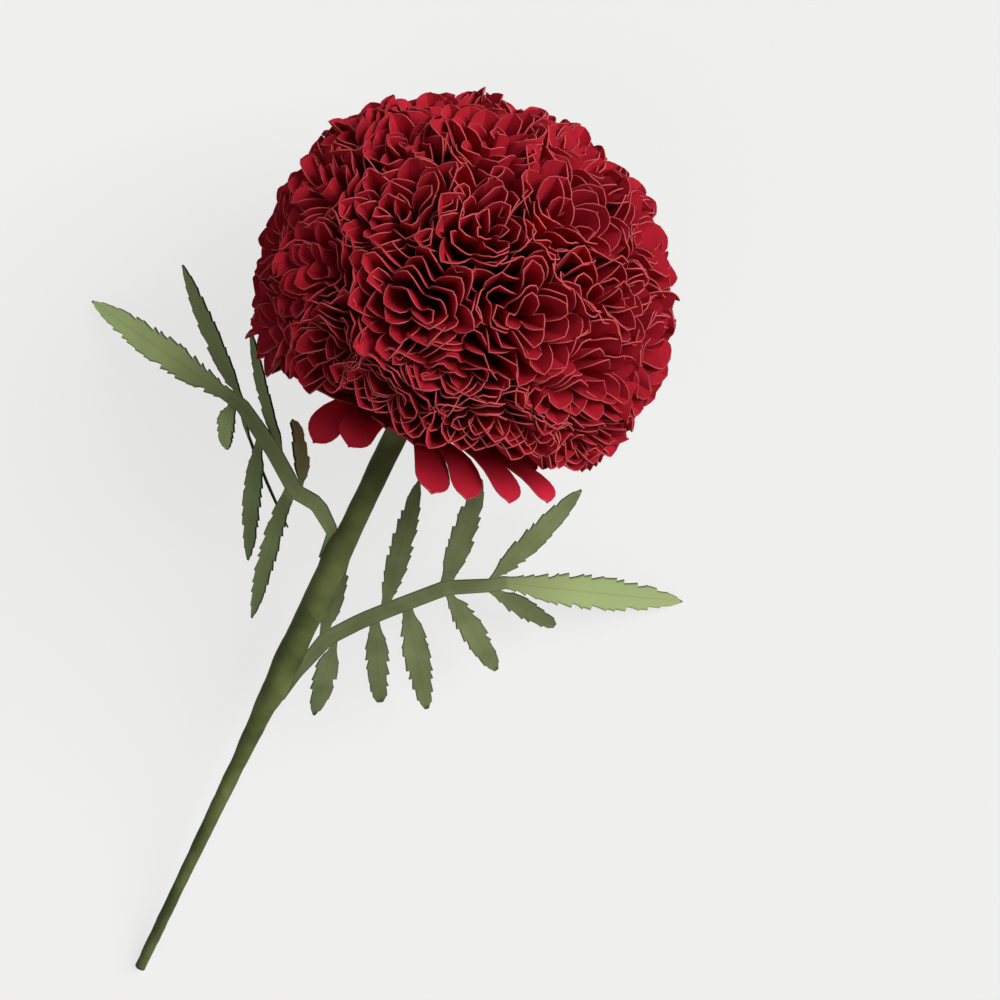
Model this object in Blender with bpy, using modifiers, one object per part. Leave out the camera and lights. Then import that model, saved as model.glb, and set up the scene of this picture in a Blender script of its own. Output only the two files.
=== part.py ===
"""Paper flower lying at rest: a ball of gathered florets, a petal skirt, a taped stem, two leaves."""

import math
import random

import bmesh
import bpy
import numpy as np
from mathutils import Matrix, Vector

# Clearances and paper
CLEARANCE = 0.0003
PAPER = 0.0004
CARD = 0.0005

# Ball of florets
HEAD_R = 0.0555
CORE_R = 0.031
RIM_POLAR = math.radians(121.0)
FLORETS = 47
FLORET_TWIST = math.radians(-28.0)
FLORET_SHIFT = math.radians(5.0)
SETTLE_ROUNDS = 6
SETTLE_SAMPLES = 3000
PETALS = 10
SEED = 7
CELL_GAP = 0.0005
PLEATS_IN = (0.76, 0.30)
BASE_OUT = 0.70
BASES_IN = (0.58, 0.30)
VALLEY_DROP = 0.0035
REACH_LIMIT = math.radians(60.0)
LEAST_LEAN = 0.001

# Skirt discs
SKIRT_PETALS = 14
SKIRT_HUB_R = 0.0135
SKIRT_TIP_R = 0.0445
SKIRT_DROOP = 0.0035
SKIRT_STEP = 0.0013
SKIRT_PETAL_W = 0.0078
SKIRT_CREASE = 0.0009
SKIRT_LOBE = 0.36
SKIRT_CORNER = 0.10
SKIRT_DROOP_POWER = 1.6
SKIRT_ROWS = ((0.30, 0.80), (0.78, 1.00), (1.00, 0.45))

# Stem
WIRE_R = 0.0010
WIRE_TOP = 0.008
STEM_END = 0.223
TAPE_PROFILE = (
    (0.000, 0.0034),
    (0.006, 0.0032),
    (0.035, 0.0031),
    (0.043, 0.0034),
    (0.055, 0.0037),
    (0.067, 0.0036),
    (0.082, 0.0037),
    (0.091, 0.0033),
    (0.100, 0.0027),
    (0.116, 0.0022),
    (0.139, 0.0019),
    (0.159, 0.0017),
)
TAPE_END_R = 0.0016

# Lying pose: bearing of the stem seen from above; the ball rests on petal tips, the leaves on theirs
STEM_BEARING = math.radians(25.4)
HEAD_HEIGHT = HEAD_R

# Leaves: the stalk path from the foot is (along, aside, up) and the tip is (along, aside);
# a leaflet is (station, side, bearing, dip, length, width), its bearing and dip in degrees
STALK_W = 0.0030
RACHIS_W = 0.0042
LEAFLET_BASE = 0.0030
LEAFLET_CREASE = 0.0004
LEAFLET_ROWS = (
    (0.14, 0.78),
    (0.30, 1.00),
    (0.36, 0.82),
    (0.56, 0.94),
    (0.62, 0.72),
    (0.82, 0.50),
    (1.00, 0.06),
)
LEAVES = {
    "leaf_upper": {
        "seat": 0.073,
        "bearing": 139.3,
        "lift": 0.0015,
        "path": (
            (0.0000, 0.0000, 0.0000),
            (0.0067, -0.0042, 0.0040),
            (0.0134, -0.0032, 0.0050),
            (0.0245, -0.0071, 0.0020),
            (0.0383, -0.0099, -0.0050),
            (0.0422, -0.0092, -0.0080),
        ),
        "leaflets": (
            (0.0164, -1, -40.0, 38.0, 0.0200, 0.0064),
            (0.0283, -1, -34.0, 20.0, 0.0325, 0.0064),
            (0.0465, -1, -26.0, 6.0, 0.0375, 0.0064),
            (0.0164, 1, 114.0, 12.0, 0.0373, 0.0058),
            (0.0320, 1, 123.0, 21.0, 0.0360, 0.0064),
            (0.0400, 1, 150.0, 17.0, 0.0334, 0.0058),
            (0.0465, 1, 114.0, 52.0, 0.0250, 0.0053),
        ),
        "tip": (0.0881, 0.0),
        "tip_width": 0.0085,
    },
    "leaf_lower": {
        "seat": 0.118,
        "bearing": 7.9,
        "lift": 0.0010,
        "path": (
            (0.0000, 0.0000, 0.0000),
            (0.0079, 0.0085, -0.0007),
            (0.0180, 0.0120, -0.0012),
            (0.0273, 0.0142, -0.0022),
            (0.0419, 0.0172, -0.0047),
            (0.0538, 0.0155, -0.0082),
            (0.0576, 0.0156, -0.0092),
        ),
        "leaflets": (
            (0.0124, 1, 70.0, 6.0, 0.0265, 0.0064),
            (0.0304, 1, 67.0, 7.0, 0.0345, 0.0064),
            (0.0476, 1, 63.0, 10.0, 0.0290, 0.0069),
            (0.0606, 1, 36.0, 13.0, 0.0344, 0.0064),
            (0.0124, -1, -113.0, 8.0, 0.0213, 0.0064),
            (0.0253, -1, -95.0, 10.0, 0.0230, 0.0064),
            (0.0350, -1, -88.0, 10.0, 0.0293, 0.0074),
            (0.0476, -1, -68.0, 13.0, 0.0262, 0.0069),
            (0.0606, -1, -42.0, 22.0, 0.0214, 0.0058),
        ),
        "tip": (0.1059, 0.0),
        "tip_width": 0.0096,
    },
}

# Start from an empty file
for old in list(bpy.data.objects):
    bpy.data.objects.remove(old)
flower = bpy.data.collections.new("paper_flower")
bpy.context.scene.collection.children.link(flower)


def material(name, colour, roughness, metallic=0.0):
    made = bpy.data.materials.new(name)
    made.use_nodes = True
    shader = made.node_tree.nodes["Principled BSDF"]
    shader.inputs["Base Color"].default_value = (*colour, 1.0)
    shader.inputs["Roughness"].default_value = roughness
    shader.inputs["Metallic"].default_value = metallic
    return made


def add_object(name, bm, looks, parent, solid=0.0, smooth=False):
    """Makes an object of the mesh, thickened equally to both sides where it is a sheet."""
    bmesh.ops.recalc_face_normals(bm, faces=bm.faces)
    mesh = bpy.data.meshes.new(name)
    bm.to_mesh(mesh)
    bm.free()
    obj = bpy.data.objects.new(name, mesh)
    obj.data.materials.append(looks)
    obj.parent = parent
    flower.objects.link(obj)
    for face in mesh.polygons:
        face.use_smooth = smooth
    if solid:
        thicken = obj.modifiers.new("thickness", "SOLIDIFY")
        thicken.thickness = solid
        thicken.offset = 0.0
    return obj


def extrude_row(bm, chain):
    """Extrudes the edges that join the vertices of the chain and gives the new chain in order."""
    edges = [bm.edges.get((a, b)) for a, b in zip(chain, chain[1:])]
    grown = bmesh.ops.extrude_edge_only(bm, edges=edges)["geom"]
    fresh = {item for item in grown if isinstance(item, bmesh.types.BMVert)}
    row = []
    for vert in chain:
        row.append(next(e.other_vert(vert) for e in vert.link_edges if e.other_vert(vert) in fresh))
    return row


# Frames: the whole flower, the upright axis of the ball and stem laid down on the floor
resting = bpy.data.objects.new("resting", None)
axis = bpy.data.objects.new("axis", None)
axis.parent = resting
STEM_DIP = math.asin((HEAD_HEIGHT - TAPE_END_R) / STEM_END)
axis.location = (0.0, 0.0, HEAD_HEIGHT)
axis.rotation_euler = (STEM_DIP - math.pi / 2, 0.0, -STEM_BEARING)
for empty in (resting, axis):
    flower.objects.link(empty)
along_axis = Matrix.Rotation(-STEM_BEARING, 3, "Z") @ Matrix.Rotation(STEM_DIP - math.pi / 2, 3, "X")

# Core ball of foam with a blind bore for the wire, turned about the axis
BORE_R = WIRE_R + CLEARANCE
BORE_TOP = WIRE_TOP + CLEARANCE
CORE_RINGS = 9
foam = material("foam", (0.82, 0.80, 0.76), 0.8)
profile = []
bore_polar = math.pi - math.asin(BORE_R / CORE_R)
for ring in range(CORE_RINGS + 1):
    polar = bore_polar * ring / CORE_RINGS
    profile.append((CORE_R * math.sin(polar), CORE_R * math.cos(polar)))
profile += [(BORE_R, BORE_TOP), (0.0, BORE_TOP)]


def turned(name, outline, steps, looks):
    """A solid turned about the axis from an outline that runs down its outer side."""
    bm = bmesh.new()
    points = [bm.verts.new((radius, 0.0, height)) for radius, height in outline]
    for a, b in zip(points, points[1:]):
        bm.edges.new((a, b))
    if outline[0][0] > 0.0:
        bm.edges.new((points[-1], points[0]))
    obj = add_object(name, bm, looks, axis, smooth=True)
    screw = obj.modifiers.new("turn", "SCREW")
    screw.steps = steps
    screw.render_steps = steps
    screw.use_merge_vertices = True
    screw.merge_threshold = 0.00001
    return obj


turned("core_ball", profile, 18, foam)

# Florets: scalloped paper discs gathered at the middle, each a pleated ring in its own cell
petal_paper = material("petal_paper", (0.30, 0.010, 0.020), 0.7)
chance = random.Random(SEED)


def spread_over_cap(count, shift):
    """Directions spread over the ball down to its rim along a golden spiral, each a little off it."""
    spread = []
    for i in range(count):
        polar = math.acos(1.0 - (1.0 - math.cos(RIM_POLAR)) * (i + 0.5) / count)
        turn = FLORET_TWIST + i * math.pi * (3.0 - math.sqrt(5.0))
        polar += chance.uniform(-1.0, 1.0) * shift
        turn += chance.uniform(-1.0, 1.0) * shift / math.sin(polar)
        level = math.sin(polar)
        spread.append((level * math.cos(turn), level * math.sin(turn), math.cos(polar)))
    return np.array(spread)


# The florets are moved apart, as they are set by eye, until their cells are about as large
samples = spread_over_cap(SETTLE_SAMPLES, 0.0)
settled = spread_over_cap(FLORETS, FLORET_SHIFT)
for _ in range(SETTLE_ROUNDS):
    nearest = np.argmax(samples @ settled.T, axis=1)
    settled = np.array([samples[nearest == i].mean(axis=0) for i in range(FLORETS)])
    settled /= np.linalg.norm(settled, axis=1, keepdims=True)
centres = [Vector(row) for row in settled.tolist()]


def cell_reach(centre, heading):
    """Angle from the centre to the edge of its cell in this direction, halfway to each neighbour."""
    reach = REACH_LIMIT
    for other in centres:
        lean = heading.dot(other)
        if other is not centre and lean > LEAST_LEAN:
            reach = min(reach, math.atan((1.0 - centre.dot(other)) / lean))
    size = math.hypot(centre.z, heading.z)
    if abs(math.cos(RIM_POLAR)) < size:
        reach = min(reach, math.atan2(heading.z, centre.z) + math.acos(math.cos(RIM_POLAR) / size))
    return reach


def add_floret(name, centre):
    side = centre.orthogonal().normalized()
    other_side = centre.cross(side)
    columns = 2 * PETALS
    bm = bmesh.new()
    inner = bmesh.ops.create_circle(bm, segments=columns, radius=1.0)["verts"]
    edges = list(bm.edges)
    grown = bmesh.ops.extrude_edge_only(bm, edges=edges)["geom"]
    outer = [item for item in grown if isinstance(item, bmesh.types.BMVert)]
    base_r = CORE_R + CLEARANCE + PAPER
    for verts, top in ((inner, False), (outer, True)):
        for vert in verts:
            step = round(math.atan2(-vert.co.x, vert.co.y) / (math.tau / columns))
            angle = math.tau * step / columns
            heading = side * math.cos(angle) + other_side * math.sin(angle)
            reach = cell_reach(centre, heading) - CELL_GAP / HEAD_R
            ridge = step % 2 == 0
            if top:
                share = 1.0 if ridge else PLEATS_IN[step // 2 % 2]
                radius = HEAD_R - (0.0 if ridge else VALLEY_DROP)
            else:
                share = BASE_OUT if ridge else BASES_IN[step // 2 % 2]
                radius = base_r
            tilt = reach * share
            vert.co = (centre * math.cos(tilt) + heading * math.sin(tilt)) * radius
    add_object(name, bm, petal_paper, axis, solid=PAPER)


for i, centre in enumerate(centres):
    add_floret(f"floret_{i + 1:02d}", centre)

# Skirt: two flat cut discs under the ball, their petals creased down the middle and drooping
SKIRT_TOP = CORE_R + CLEARANCE + PAPER / 2


def add_skirt(name, level, turn):
    bm = bmesh.new()
    slots = 3 * SKIRT_PETALS
    bore = bmesh.ops.create_circle(bm, segments=slots, radius=BORE_R + PAPER)["verts"]
    grown = bmesh.ops.extrude_edge_only(bm, edges=list(bm.edges))["geom"]
    hub = [item for item in grown if isinstance(item, bmesh.types.BMVert)]
    pitch = math.tau / SKIRT_PETALS
    lobe = pitch * SKIRT_LOBE
    offsets = (-lobe, 0.0, lobe)
    ring = {}
    for verts, radius in ((bore, BORE_R + PAPER), (hub, SKIRT_HUB_R)):
        for vert in verts:
            step = round(math.atan2(-vert.co.x, vert.co.y) / (math.tau / slots)) % slots
            angle = turn + pitch * (step // 3) + offsets[step % 3]
            vert.co = (radius * math.cos(angle), radius * math.sin(angle), -level)
            ring[radius, step] = vert
    for petal in range(SKIRT_PETALS):
        row = [ring[SKIRT_HUB_R, 3 * petal + k] for k in range(3)]
        middle = turn + pitch * petal
        outward = Vector((math.cos(middle), math.sin(middle), 0.0))
        across = Vector((-math.sin(middle), math.cos(middle), 0.0))
        for share, width in SKIRT_ROWS:
            row = extrude_row(bm, row)
            corner = SKIRT_CORNER if share == SKIRT_ROWS[-1][0] else 0.0
            for k, vert in enumerate(row):
                place = share - (0.0 if k == 1 else corner)
                radius = SKIRT_HUB_R + (SKIRT_TIP_R - SKIRT_HUB_R) * place
                drop = level + SKIRT_DROOP * place**SKIRT_DROOP_POWER + (SKIRT_CREASE * share if k == 1 else 0.0)
                vert.co = outward * radius + across * ((k - 1) * width * SKIRT_PETAL_W / 2)
                vert.co.z = -drop
    add_object(name, bm, petal_paper, axis, solid=PAPER)


add_skirt("skirt_upper", SKIRT_TOP, 0.0)
add_skirt("skirt_lower", SKIRT_TOP + SKIRT_STEP, math.pi / SKIRT_PETALS)

# Stem: a straight wire pushed into the ball, and the tape wound round it below the skirt
steel = material("stem_wire", (0.55, 0.56, 0.56), 0.35, 1.0)
crepe = material("stem_tape", (0.12, 0.15, 0.05), 0.75)
TAPE_TOP = SKIRT_TOP + SKIRT_STEP + PAPER / 2 + CLEARANCE
turned(
    "stem_wire",
    [(0.0, WIRE_TOP), (WIRE_R, WIRE_TOP), (WIRE_R, -STEM_END), (0.0, -STEM_END)],
    10,
    steel,
)
outline = [(radius, -(TAPE_TOP + down)) for down, radius in TAPE_PROFILE]
outline += [(TAPE_END_R, -STEM_END), (BORE_R, -STEM_END), (BORE_R, -TAPE_TOP)]
turned("stem_tape", outline, 12, crepe)


def tape_radius(distance):
    """Outer radius of the tape at this distance below the middle of the ball."""
    marks = [(TAPE_TOP + down, radius) for down, radius in TAPE_PROFILE] + [(STEM_END, TAPE_END_R)]
    for (a, first), (b, second) in zip(marks, marks[1:]):
        if distance <= b:
            return first + (second - first) * (distance - a) / (b - a)
    return TAPE_END_R


# Leaves: each one cut sheet of card, a curved stalk with toothed leaflets folded along their middles
leaf_card = material("leaf_card", (0.13, 0.17, 0.07), 0.8)


def along_path(path, station):
    """Point of the path at this length from its start, and the direction there."""
    for a, b in zip(path, path[1:]):
        step = (b - a).length
        if station <= step or b is path[-1]:
            return a + (b - a) * (station / step), (b - a) / step
        station -= step


def add_leaflet(bm, row, start, heading, normal, length, width):
    across = normal.cross(heading).normalized()
    lift = heading.cross(across).normalized()
    for share, wide in LEAFLET_ROWS:
        row = extrude_row(bm, row)
        for k, vert in enumerate(row):
            aside = (k - 1) * wide * width / 2
            fold = LEAFLET_CREASE * (1.0 if k == 1 else 0.0) * (1.0 - share)
            vert.co = start + heading * (length * share) + across * aside - lift * fold


def add_leaf(name, plan):
    path = [Vector(point) for point in plan["path"]]
    # The foot stands beside the tape, clear of it by the clearance
    course = math.radians(plan["bearing"])
    first = Matrix.Rotation(course, 3, "Z") @ (path[1] - path[0])
    stem = along_axis @ Vector((0.0, 0.0, 1.0))
    outward = first - stem * first.dot(stem)
    outward.z = 0.0
    stand = tape_radius(plan["seat"]) + CLEARANCE + (STALK_W + CARD) / 2
    foot = Vector((0.0, 0.0, HEAD_HEIGHT)) - stem * plan["seat"] + outward.normalized() * stand
    foot.z += plan["lift"]
    total = sum((b - a).length for a, b in zip(path, path[1:]))
    stations = {0.0, total}
    for station, _side, _bearing, _dip, _length, _width in plan["leaflets"]:
        stations |= {station - LEAFLET_BASE / 2, station, station + LEAFLET_BASE / 2}
    travelled = 0.0
    for a, b in zip(path, path[1:]):
        travelled += (b - a).length
        if min(abs(travelled - other) for other in stations) > LEAFLET_BASE / 3:
            stations.add(travelled)
    bm = bmesh.new()
    up = Vector((0.0, 0.0, 1.0))
    rows = {}
    chain = None
    for station in sorted(stations):
        point, heading = along_path(path, station)
        aside = up.cross(heading).normalized()
        width = STALK_W + (RACHIS_W - STALK_W) * math.sin(math.pi * station / total)
        if chain is None:
            chain = [bm.verts.new(), bm.verts.new(), bm.verts.new()]
            bm.edges.new((chain[0], chain[1]))
            bm.edges.new((chain[1], chain[2]))
        else:
            chain = extrude_row(bm, chain)
        for k, vert in enumerate(chain):
            vert.co = point + aside * ((k - 1) * width / 2) - up * (LEAFLET_CREASE if k == 1 else 0.0)
        rows[station] = chain
    for station, side, bearing, dip, length, width in plan["leaflets"]:
        turn, fall = math.radians(bearing), math.radians(dip)
        heading = Vector(
            (math.cos(turn) * math.cos(fall), math.sin(turn) * math.cos(fall), -math.sin(fall))
        )
        marks = (station - LEAFLET_BASE / 2, station, station + LEAFLET_BASE / 2)
        if side > 0:
            marks = marks[::-1]
        seam = [rows[mark][1 + side] for mark in marks]
        start = seam[1].co.copy()
        normal = (seam[2].co - seam[0].co).cross(heading).normalized()
        normal = normal if normal.z > 0.0 else -normal
        add_leaflet(bm, seam, start, heading, normal, length, width)
    end, tip = rows[max(stations)], Vector((*plan["tip"], CARD / 2 - foot.z))
    start = (end[0].co + end[2].co) / 2
    heading = (tip - start).normalized()
    normal = heading.cross(up.cross(heading)).normalized()
    add_leaflet(bm, end, start, heading, normal, (tip - start).length, plan["tip_width"])
    obj = add_object(name, bm, leaf_card, resting, solid=CARD)
    obj.rotation_euler = (0.0, 0.0, course)
    obj.location = foot


for name, plan in LEAVES.items():
    add_leaf(name, plan)

# Set the flower down: lowest point on the floor, box centred over the origin
bpy.context.view_layer.update()
graph = bpy.context.evaluated_depsgraph_get()
corners = []
for obj in flower.objects:
    if obj.type == "MESH":
        shape = obj.evaluated_get(graph)
        corners += [shape.matrix_world @ vert.co for vert in shape.data.vertices]
low = Vector([min(corner[k] for corner in corners) for k in range(3)])
high = Vector([max(corner[k] for corner in corners) for k in range(3)])
resting.location = (-(low.x + high.x) / 2, -(low.y + high.y) / 2, -low.z)
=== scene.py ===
import math
import random

import bmesh
import bpy
import numpy as np
from mathutils import Matrix, Vector, noise


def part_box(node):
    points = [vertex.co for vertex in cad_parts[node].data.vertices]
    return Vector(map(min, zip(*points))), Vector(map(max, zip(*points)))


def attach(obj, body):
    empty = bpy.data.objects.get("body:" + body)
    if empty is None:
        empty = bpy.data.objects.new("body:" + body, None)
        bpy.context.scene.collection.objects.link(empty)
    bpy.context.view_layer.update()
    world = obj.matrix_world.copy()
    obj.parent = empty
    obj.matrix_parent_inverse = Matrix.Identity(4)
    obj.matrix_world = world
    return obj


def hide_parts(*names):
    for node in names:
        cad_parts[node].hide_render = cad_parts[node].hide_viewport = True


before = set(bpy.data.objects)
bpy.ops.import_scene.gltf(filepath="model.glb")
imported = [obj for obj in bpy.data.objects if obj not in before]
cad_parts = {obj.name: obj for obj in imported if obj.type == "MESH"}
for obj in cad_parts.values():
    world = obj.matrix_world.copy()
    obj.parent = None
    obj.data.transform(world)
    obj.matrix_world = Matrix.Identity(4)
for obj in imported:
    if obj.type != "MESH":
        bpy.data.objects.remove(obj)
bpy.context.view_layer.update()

# Foam ball and wire
# The ball is turned foam. Its dark crimson, far darker than the petal paper, is painted shade for the deep
# gaps between the petals, where the ball shows. A straight steel wire is pushed into its underside and
# glued. Both are the imported solids with a finish.
HEAD_R = 0.0555
CORE_R = 0.031
STEM_BEARING = math.radians(25.4)
STEM_END = 0.223
TAPE_END_R = 0.0016
STEM_DIP = math.asin((HEAD_R - TAPE_END_R) / STEM_END)
SHINE = 0.25
TONE_STOPS = (0.32, 0.68)
laid = Matrix.Rotation(-STEM_BEARING, 3, "Z") @ Matrix.Rotation(STEM_DIP - math.pi / 2, 3, "X")
ball_low, ball_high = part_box("core_ball")
ball_middle = (Vector(ball_low) + Vector(ball_high)) / 2

grain = bpy.data.node_groups.new("grain", "ShaderNodeTree")
grain.interface.new_socket("Vector", in_out="INPUT", socket_type="NodeSocketVector")
for title in ("Fine Scale", "Broad Scale"):
    grain.interface.new_socket(title, in_out="INPUT", socket_type="NodeSocketFloat")
for title in ("Fine", "Broad"):
    grain.interface.new_socket(title, in_out="OUTPUT", socket_type="NodeSocketFloat")
grain_in = grain.nodes.new("NodeGroupInput")
grain_out = grain.nodes.new("NodeGroupOutput")
for title, detail in (("Fine", 5.0), ("Broad", 2.0)):
    cloud = grain.nodes.new("ShaderNodeTexNoise")
    cloud.inputs["Detail"].default_value = detail
    grain.links.new(grain_in.outputs["Vector"], cloud.inputs["Vector"])
    grain.links.new(grain_in.outputs[title + " Scale"], cloud.inputs["Scale"])
    grain.links.new(cloud.outputs["Fac"], grain_out.inputs[title])


def finish(name, dark, light, roughness, fine, broad, depth):
    """A matt finish that wanders between two tones, with a fine grain to its surface."""
    made = bpy.data.materials.new(name)
    made.use_nodes = True
    nodes, links = made.node_tree.nodes, made.node_tree.links
    shader = nodes["Principled BSDF"]
    shader.inputs["Roughness"].default_value = roughness
    shader.inputs["Specular IOR Level"].default_value = SHINE
    place = nodes.new("ShaderNodeTexCoord")
    grained = nodes.new("ShaderNodeGroup")
    grained.name = "grained"
    grained.node_tree = grain
    grained.inputs["Fine Scale"].default_value = fine
    grained.inputs["Broad Scale"].default_value = broad
    tones = nodes.new("ShaderNodeValToRGB")
    tones.name = "tones"
    for stop, position, tone in zip(tones.color_ramp.elements, TONE_STOPS, (dark, light)):
        stop.position = position
        stop.color = (*tone, 1.0)
    bump = nodes.new("ShaderNodeBump")
    bump.name = "bump"
    bump.inputs["Distance"].default_value = depth
    links.new(place.outputs["Object"], grained.inputs["Vector"])
    links.new(grained.outputs["Broad"], tones.inputs["Fac"])
    links.new(tones.outputs["Color"], shader.inputs["Base Color"])
    links.new(grained.outputs["Fine"], bump.inputs["Height"])
    links.new(bump.outputs["Normal"], shader.inputs["Normal"])
    return made


# The foam's dark crimson is painted shade for the gaps between the petals
foam = finish("foam_painted_shade", (0.060, 0.002, 0.005), (0.11, 0.004, 0.009), 0.9, 900.0, 120.0, 0.0003)
steel = finish("steel_wire", (0.42, 0.42, 0.41), (0.60, 0.60, 0.58), 0.35, 3000.0, 200.0, 0.00001)
steel.node_tree.nodes["Principled BSDF"].inputs["Metallic"].default_value = 1.0
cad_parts["core_ball"].data.materials[0] = foam
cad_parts["stem_wire"].data.materials[0] = steel

# Florets
# Each floret is a bundle of scalloped strips cut from heavy crimson paper, gathered at the foot and
# glued to the ball, so its petals stand up in nested loops and crowd those of its neighbours. Every
# petal is creased down its middle and curled over a little at its cut edge.
RIM_POLAR = math.radians(121.0)
FLORETS = 47
SPIRAL_START = math.radians(-28.0)
FLORET_SHIFT = math.radians(5.0)
SETTLE_ROUNDS = 6
SETTLE_SAMPLES = 3000
REACH_LIMIT = math.pi / 3
LEAST_LEAN = 0.001
PETAL_PAPER = 0.0003
PETAL_W = 0.0112
NOTCH_DEEP = 0.0050
WIDE_LOOPS = (0.14, 0.34, 0.55, 0.75, 0.94)
CLOSE_LOOPS = (0.12, 0.29, 0.46, 0.62, 0.78, 0.93)
CLOSE_BELOW = -0.15
LINE_STEPS = 96
# The petals' feet stand off the foam, and their edges make up the ball's crown: it is fuller toward +X,
# flatter at the end away from the stem, swollen at one shoulder and softly lumped
FOOT_R = CORE_R + 0.003
CROWN_R = HEAD_R - 0.0014
FULLER = 0.0014
FLATTER = 0.0017
SHOULDER = 0.0030
SHOULDER_FROM = 0.82
LUMP_SCALE = 3.0
LUMP_H = 0.0018
# Sizes that differ from petal to petal, as a spread, as (mean, spread) or as (least, most)
TIP_SPREAD = 0.0008
NOTCH_SHARE = (0.75, 1.25)
FOLD = (0.0014, 0.0003)
LEAN_SPREAD = 0.0004
TWIST = (0.0005, 0.00025)
CURL = (0.0002, 0.0009)
# How far a floret is turned, opened and sunk in its middle
SLEW = 0.5
OPENING = (0.82, 0.95)
DIP_MOST = 0.004
# Scale and reach of the two swells by which crowded paper is shifted
CROWDING = ((2.6, 0.15), (6.5, 0.040))
# How flat the loops lie: the least, that at the ball's waist, its gain toward the crown, and the most
FLATNESS = (0.30, 0.42, 0.35, 0.62)
# How far the ball's lower edge is drawn up at each bearing round the stem, both in degrees
RIM_LIFT = (
    (-180.0, 0.0),
    (-132.0, 0.0),
    (-112.0, 12.0),
    (-90.0, 9.0),
    (-70.0, 14.0),
    (-30.0, 13.0),
    (-8.0, 4.0),
    (15.0, 0.0),
    (180.0, 0.0),
)
LIFT_FROM = 90.0
LIFT_OVER = 31.0
LIFT_MOST = 1.15
# Across a petal the columns run from notch to notch with the crease at 0, and up it from foot to edge
ACROSS = (-1.0, -0.90, -0.74, -0.50, -0.24, 0.0, 0.24, 0.50, 0.74, 0.90)
UP = (0.0, 0.40, 0.72, 0.90, 1.0)
chance = random.Random(7)


def spread_over_cap(count, shift):
    """Directions spread over the ball down to its rim, each off a golden spiral by up to this shift."""
    spread = []
    for i in range(count):
        polar = math.acos(1.0 - (1.0 - math.cos(RIM_POLAR)) * (i + 0.5) / count)
        turn = SPIRAL_START + i * math.pi * (3.0 - math.sqrt(5.0))
        polar += chance.uniform(-1.0, 1.0) * shift
        turn += chance.uniform(-1.0, 1.0) * shift / math.sin(polar)
        level = math.sin(polar)
        spread.append((level * math.cos(turn), level * math.sin(turn), math.cos(polar)))
    return np.array(spread)


samples = spread_over_cap(SETTLE_SAMPLES, 0.0)
settled = spread_over_cap(FLORETS, FLORET_SHIFT)
for _ in range(SETTLE_ROUNDS):
    nearest = np.argmax(samples @ settled.T, axis=1)
    settled = np.array([samples[nearest == i].mean(axis=0) for i in range(FLORETS)])
    settled /= np.linalg.norm(settled, axis=1, keepdims=True)
floret_middles = [Vector(row) for row in settled.tolist()]


def room(middle, heading):
    """Angle from a floret's middle to the edge of its room in this direction."""
    reach = REACH_LIMIT
    for other in floret_middles:
        lean = heading.dot(other)
        if other is not middle and lean > LEAST_LEAN:
            reach = min(reach, math.atan((1.0 - middle.dot(other)) / lean))
    size = math.hypot(middle.z, heading.z)
    if abs(math.cos(RIM_POLAR)) < size:
        reach = min(reach, math.atan2(heading.z, middle.z) + math.acos(math.cos(RIM_POLAR) / size))
    return reach


def crowded(direction):
    """Shifts a direction with its neighbours, as crowded paper gives way together, and lifts the rim."""
    places = [Vector((3.1 + 9.3 * axis, 7.7, 1.9 - 5.1 * axis)) for axis in range(3)]
    shift = Vector((0.0, 0.0, 0.0))
    for scale, reach in CROWDING:
        shift += Vector([noise.noise(direction * scale + place) for place in places]) * reach
    shifted = (direction + shift - direction * direction.dot(shift)).normalized()
    polar = math.degrees(math.acos(shifted.z))
    lift = np.interp(math.degrees(math.atan2(shifted.y, shifted.x)), *zip(*RIM_LIFT))
    near_rim = min(LIFT_MOST, max(0.0, (polar - LIFT_FROM) / LIFT_OVER))
    drawn = math.radians(polar - lift * near_rim**1.2)
    level = math.sin(drawn) / math.hypot(shifted.x, shifted.y)
    return Vector((shifted.x * level, shifted.y * level, math.cos(drawn)))


def strip_line(middle, side, reaches, share, open_by):
    """The closed line that a strip follows round its floret, as directions from the ball's middle."""
    other_side = middle.cross(side)
    least, at_waist, gain, most = FLATNESS
    flatness = min(most, max(least, at_waist + gain * middle.z))
    line = []
    for k, reach in enumerate(reaches):
        turn = math.tau * k / len(reaches)
        offset = side * (math.cos(turn) * share) + other_side * (math.sin(turn) * share**flatness)
        tilt = offset.length * reach * open_by
        line.append(middle * math.cos(tilt) + offset.normalized() * math.sin(tilt))
    return line


def grown_row(shape, row, closed):
    """Extrudes the edges that join a row of vertices and gives the new row in the same order."""
    pairs = zip(row, row[1:] + row[:1]) if closed else zip(row, row[1:])
    grown = bmesh.ops.extrude_edge_only(shape, edges=[shape.edges.get(pair) for pair in pairs])["geom"]
    fresh = {item for item in grown if isinstance(item, bmesh.types.BMVert)}
    return [next(e.other_vert(v) for e in v.link_edges if e.other_vert(v) in fresh) for v in row]


def tube_rows(shape, columns, count):
    """A tube of this many rows: a circle in order, and the rows extruded from it."""
    ring = bmesh.ops.create_circle(shape, segments=columns, radius=1.0)["verts"]
    ring.sort(key=lambda vert: round(math.atan2(-vert.co.x, vert.co.y) / (math.tau / columns)) % columns)
    rows = [list(ring)]
    while len(rows) < count:
        rows.append(grown_row(shape, rows[-1], True))
    return rows


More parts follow.
